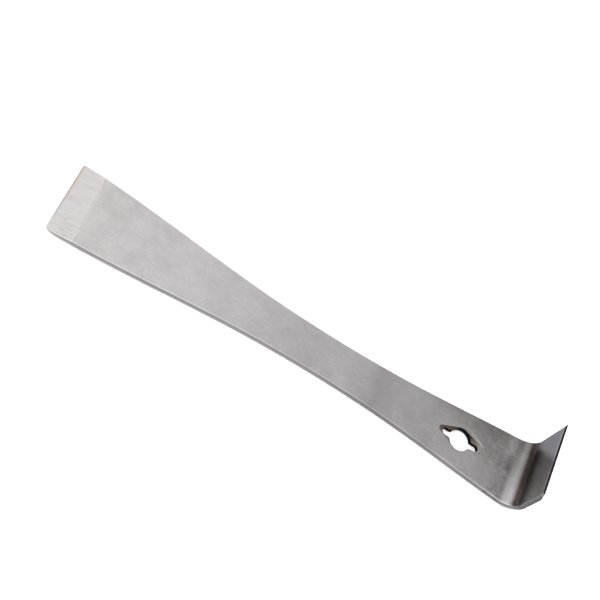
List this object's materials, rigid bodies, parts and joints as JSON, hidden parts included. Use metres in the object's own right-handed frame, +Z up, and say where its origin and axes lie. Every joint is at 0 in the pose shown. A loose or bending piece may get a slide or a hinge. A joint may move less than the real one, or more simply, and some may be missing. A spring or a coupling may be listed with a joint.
{
  "type": "hive tool",
  "caption": "Flat steel hive tool with a bevelled blade, a narrow waist, a keyed nail hole and a sharpened right-angle hook.",
  "frame": {"origin": "under the middle of the tool, on the plane that its flat back rests on", "axes": "+X along the bar from the blade's cutting edge to the back of the hook, +Y across the bar, +Z up, the way the hook points"},
  "size_m": [0.254, 0.0389, 0.0334],
  "materials": {
    "steel": "satin, lightly brushed, with fresh grinding marks on the bevels"
  },
  "bodies": {
    "root": {"steel_bar": "steel"}
  },
  "joints": []
}
